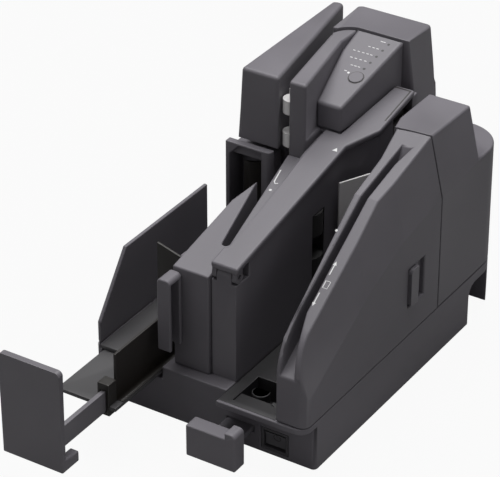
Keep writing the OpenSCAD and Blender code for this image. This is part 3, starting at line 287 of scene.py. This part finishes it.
def keep_creases(mesh):
    """Leave the edges between two broad faces crisp, however flat the fold is."""
    bm = bmesh.new()
    bm.from_mesh(mesh)
    for edge in bm.edges:
        if len(edge.link_faces) == 2 and edge.calc_face_angle(0) > math.radians(FOLD_ANGLE):
            length = max(edge.calc_length(), MM)
            if min(f.calc_area() for f in edge.link_faces) / length > BROAD_FACE * MM:
                edge.smooth = False
    bm.to_mesh(mesh)
    bm.free()


def round_edges(bm, edges, radius):
    bmesh.ops.bevel(bm, geom=edges, offset=radius * MM, offset_type="OFFSET", affect="EDGES",
                    segments=ROUND_STEPS, profile=0.5, material=-1, clamp_overlap=False)


def keep_inside(bm, tree):
    """Bring a vertex that a round pushed out of the CAD solid back to its surface."""
    for vert in bm.verts:
        point, normal, _, distance = tree.find_nearest(vert.co)
        outside = (vert.co - point).dot(normal) > -0.5 * distance
        if outside and distance > SURFACE_TOLERANCE * MM:
            vert.co = point


def soften(node, radius):
    """Make the rounded copy of a node that stands in for it."""
    obj = bpy.data.objects.new(node + "_moulded", frame["nodes"][node].data.copy())
    bpy.context.scene.collection.objects.link(obj)
    bm = bmesh.new()
    bm.from_mesh(obj.data)
    bmesh.ops.remove_doubles(bm, verts=bm.verts, dist=JOIN_DISTANCE * MM)
    bmesh.ops.dissolve_limit(bm, angle_limit=math.radians(FLAT_ANGLE), verts=bm.verts,
                             edges=bm.edges, delimit={"NORMAL"})
    if node in seams:
        along = [edge for edge in outer_edges(bm, SEAM_RADIUS) if at_seam(edge, seams[node])]
        round_edges(bm, along, SEAM_RADIUS)
    round_edges(bm, outer_edges(bm, radius), radius)
    keep_inside(bm, tree_of(node))
    for face in bm.faces:
        face.smooth = True
    bm.to_mesh(obj.data)
    bm.free()
    obj.data.set_sharp_from_angle(angle=math.radians(SMOOTH_ANGLE))
    keep_creases(obj.data)
    weight = obj.modifiers.new("normals", "WEIGHTED_NORMAL")
    weight.keep_sharp = True
    baked(obj)
    paint(obj, slot_of[node], node)
    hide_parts(node)
    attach(obj, body_of[node])
    return obj


soft_nodes = {
    "lower_case": 0.8, "right_cover": 1.1, "right_rear_cover": 1.4, "centre_cover": 1.3,
    "rear_top_cover": 2.2, "left_rear_cover": 2.4, "centre_rear_housing": 2.0,
    "control_panel": 2.0, "pocket_divider": 1.0, "divider_end_tab": 1.0,
    "pocket_back_frame": 0.8, "pocket_side_guard": 0.8, "stopper_plate": 1.0,
    "slide_bar": 0.4, "hopper_arm": 0.9, "latch_handle": 0.9, "hopper_tray": 0.4,
    "pocket_floor": 0.5, "extension_tray": 0.5, "guide_plate": 0.25, "bar_clamp": 0.5,
    "pocket_flap": 0.3, "pressure_plate": 0.4, "panel_button": 0.35, "power_rocker": 0.4,
    "power_bezel": 0.3, "stack_lever": 0.3, "diverter_flap": 0.3, "centre_island": 0.5,
}
softened = {node: soften(node, radius) for node, radius in soft_nodes.items()}
for node, obj in frame["nodes"].items():
    paint(obj, slot_of[node], node)
print("softened", len(softened))

# %% [markdown]
# ## Pad printing
# White signs are pad printed on the real shells, a film a few hundredths of a millimetre
# thick. `printed` drops a flat outline onto a shell: a ray from above finds the surface, the
# outline is laid on it and lifted by the film's thickness. Every sign here is generic.

# %%
FILM = 0.09
RAY_START = 0.2         # metres before the place
DOWN = Vector((0, 0, -1))
FRONTWARD = Vector((0, 1, 0))


def surface(node, place, way=DOWN):
    """The point and the outward normal where a ray meets a node's mesh."""
    return tree_of(node).ray_cast(place - way * RAY_START, way)[:2]


def printed(name, node, slot_name, outlines, start, heading=(0, 1), way=DOWN):
    """Lay flat outlines, in mm to the right and ahead of a start, on a node's surface."""
    point, normal = surface(node, at(*start), way)
    ahead = Vector((heading[0], heading[1], 0)) if way == DOWN else Vector((0, 0, 1))
    ahead = (ahead - normal * ahead.dot(normal)).normalized()
    side = ahead.cross(normal)
    bm = bmesh.new()
    for outline in outlines:
        verts = [bm.verts.new(point + (side * u + ahead * v) * MM) for u, v in outline]
        bm.faces.new(verts)
    bmesh.ops.remove_doubles(bm, verts=bm.verts, dist=0.001 * MM)
    top = bmesh.ops.extrude_face_region(bm, geom=bm.faces[:])
    lifted = [item for item in top["geom"] if isinstance(item, bmesh.types.BMVert)]
    bmesh.ops.translate(bm, verts=lifted, vec=normal * FILM * MM)
    bmesh.ops.recalc_face_normals(bm, faces=bm.faces)
    mesh = bpy.data.meshes.new(name)
    bm.to_mesh(mesh)
    bm.free()
    obj = bpy.data.objects.new(name, mesh)
    bpy.context.scene.collection.objects.link(obj)
    paint(obj, slot_name)
    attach(obj, body_of[node])
    return obj


def bar(x0, y0, x1, y1, width):
    """The outline of a straight stroke from one point to another."""
    along = Vector((x1 - x0, y1 - y0))
    off = Vector((-along.y, along.x)).normalized() * width / 2
    return [(x0 - off.x, y0 - off.y), (x1 - off.x, y1 - off.y),
            (x1 + off.x, y1 + off.y), (x0 + off.x, y0 + off.y)]


def polar(radius, turn):
    return radius * math.cos(turn), radius * math.sin(turn)


def disc(radius, count=16):
    return [polar(radius, 2 * math.pi * i / count) for i in range(count)]


def arc(radius, width, start, end, count=16):
    """Strokes along an arc, in degrees from the right."""
    turns = [math.radians(start + (end - start) * i / count) for i in range(count + 1)]
    inner, outer = radius - width / 2, radius + width / 2
    return [[polar(inner, a), polar(outer, a), polar(outer, b), polar(inner, b)]
            for a, b in zip(turns, turns[1:])]


def arrow(length, shaft=0.7, head=2.4):
    return [bar(0, 0, 0, length - head, shaft),
            [(-head / 2, length - head), (head / 2, length - head), (0, length)]]


card = [bar(-1.5, -2.4, -1.5, 2.4, 0.55), bar(1.5, -2.4, 1.5, 2.4, 0.3),
        bar(-1.5, -2.3, 1.5, -2.3, 0.3), bar(-1.5, 2.3, 1.5, 2.3, 0.3)]
printed("sign_card_in", "right_cover", "white_print", arrow(9), (-13.6, 35, 0))
printed("sign_card", "right_cover", "white_print", card, (-12.1, 29.6, 0))
printed("sign_card_out", "right_cover", "white_print", arrow(9), (-13.6, 24.6, 0), (0, -1))
printed("sign_dot_inner", "right_cover", "white_print", [disc(0.8)], (-23.2, 58.4, 0))
printed("sign_opening", "centre_cover", "white_print",
        [[(-1.7, -1.2), (1.7, -1.2), (0, 1.9)]], (-62.3, 122.2, 0))
printed("sign_path", "pocket_divider", "white_print",
        [bar(0, 0, -2.0, 10.6, 0.75), bar(-0.2, 0.2, 1.5, -1.6, 0.6),
         bar(1.5, -1.6, 3.0, -0.6, 0.6)],
        (-87.3, 94.3, 0))
printed("sign_dot_strip", "pocket_divider", "white_print", [disc(0.9)], (-85.3, 86.8, 0))
print("card signs printed")

# %% [markdown]
# ## Panel and switch
# The panel carries short rows of dashes beside its five lights, a dark ring round the
# button and one dot. The rocker has the usual sign of a ring and a stroke in black. A black
# film along the inset at the back of the centre cover is painted shade of its seam.

# %%
LIGHTS = [(-68.4, 193.4), (-69.3, 187.7), (-70.2, 182.0), (-71.0, 176.3), (-71.9, 170.6)]
DASHES = [[(-5.2, 0.9), (-3.4, 0.9)], [(-9.2, 0.3), (-6.3, 0.3), (-3.6, 0.3)],
          [(-15.5, 0.2), (-12.4, 0.2), (-9.2, 0.2), (-6.2, 0.2), (-3.6, 0.2)],
          [(-13.3, 0.2), (-10.2, 0.2), (-6.8, 0.2), (-3.6, 0.2)],
          [(-8.6, 0.2), (-6.2, 0.2), (-3.8, 0.2)]]
for row, (light, dashes) in enumerate(zip(LIGHTS, DASHES), 1):
    strokes = [bar(x + 1.4, y, x + 3.0, y, 0.5) for x, y in dashes]
    printed("sign_light_%d" % row, "control_panel", "white_print", strokes,
            (light[0] - 2.2, light[1], 0))
BUTTON, RING = (-72.8, 162.6), 4.85
around = [[(x + 7, y) for x, y in piece] for piece in arc(RING, 0.5, 0, 360, 40)]
printed("button_ring", "control_panel", "black_plastic", around, (BUTTON[0] - 7, BUTTON[1], 0))
printed("sign_button", "control_panel", "white_print", [disc(0.8), bar(-3.4, 0.9, -1.6, 0.9, 0.5)],
        (BUTTON[0] - 6.4, BUTTON[1] + 2, 0))
power = arc(2.3, 0.5, 125, 415) + [bar(0, 0.6, 0, 3.0, 0.5)]
printed("sign_power", "power_rocker", "black_plastic", power, (-26.6, 0, 14.2), way=FRONTWARD)
# A black film laid on the cover paints the shade in the seam of the inset.
printed("painted_inset_seam_shade", "centre_cover", "black_plastic",
        [bar(-5.4, 0, 5.4, 0, 0.9), bar(5.4, 0.45, 5.4, -31, 0.9)], (-54.6, 187.9, 0))
print("panel signs", len(LIGHTS))

# %% [markdown]
# ## Studio
# A plain pale floor, a wide soft box overhead and two weak fills. The floor shows white to
# the camera and keeps the object's soft shadow.

# %%


def area(name, place, target, size, power):
    data = bpy.data.lights.new(name, "AREA")
    data.shape = "SQUARE"
    data.size = size
    data.energy = power
    lamp = bpy.data.objects.new(name, data)
    bpy.context.scene.collection.objects.link(lamp)
    lamp.location = place
    lamp.rotation_euler = (target - place).to_track_quat("-Z", "Y").to_euler()
    return lamp


def make_floor():
    bpy.ops.mesh.primitive_plane_add(size=12, location=(0, 0, 0))
    floor = bpy.context.object
    floor.name = "floor"
    mat = bpy.data.materials.new("floor_paper")
    mat.use_nodes = True
    tree = mat.node_tree
    shader = tree.nodes["Principled BSDF"]
    shader.inputs["Base Color"].default_value = linear("8c8c8c")
    shader.inputs["Roughness"].default_value = 0.9
    glow = add(tree, "ShaderNodeEmission", Color=(1, 1, 1, 1), Strength=1.0)
    path = add(tree, "ShaderNodeLightPath")
    share = add(tree, "ShaderNodeMath", operation="MULTIPLY")
    tree.links.new(path.outputs["Is Camera Ray"], share.inputs[0])
    share.inputs[1].default_value = 0.94
    mix = add(tree, "ShaderNodeMixShader", {0: share.outputs[0]})
    tree.links.new(shader.outputs[0], mix.inputs[1])
    tree.links.new(glow.outputs[0], mix.inputs[2])
    tree.links.new(mix.outputs[0], tree.nodes["Material Output"].inputs["Surface"])
    floor.data.materials.append(mat)
    return floor


LAMPS = [("overhead", (-0.15, 0.25, 1.3), 1.1, 21), ("right_fill", (1.2, -0.3, 0.6), 0.9, 1.6),
         ("front_fill", (-0.5, -1.3, 0.5), 0.9, 1.2)]
MIDDLE = Vector((0, 0, 0.08))
make_floor()
for name, place, size, power in LAMPS:
    area(name, Vector(place), MIDDLE, size, power)
world = bpy.data.worlds.new("studio")
bpy.context.scene.world = world
world.use_nodes = True
world.node_tree.nodes["Background"].inputs["Color"].default_value = (1, 1, 1, 1)
world.node_tree.nodes["Background"].inputs["Strength"].default_value = 0.14
bpy.context.scene.view_settings.view_transform = "Standard"
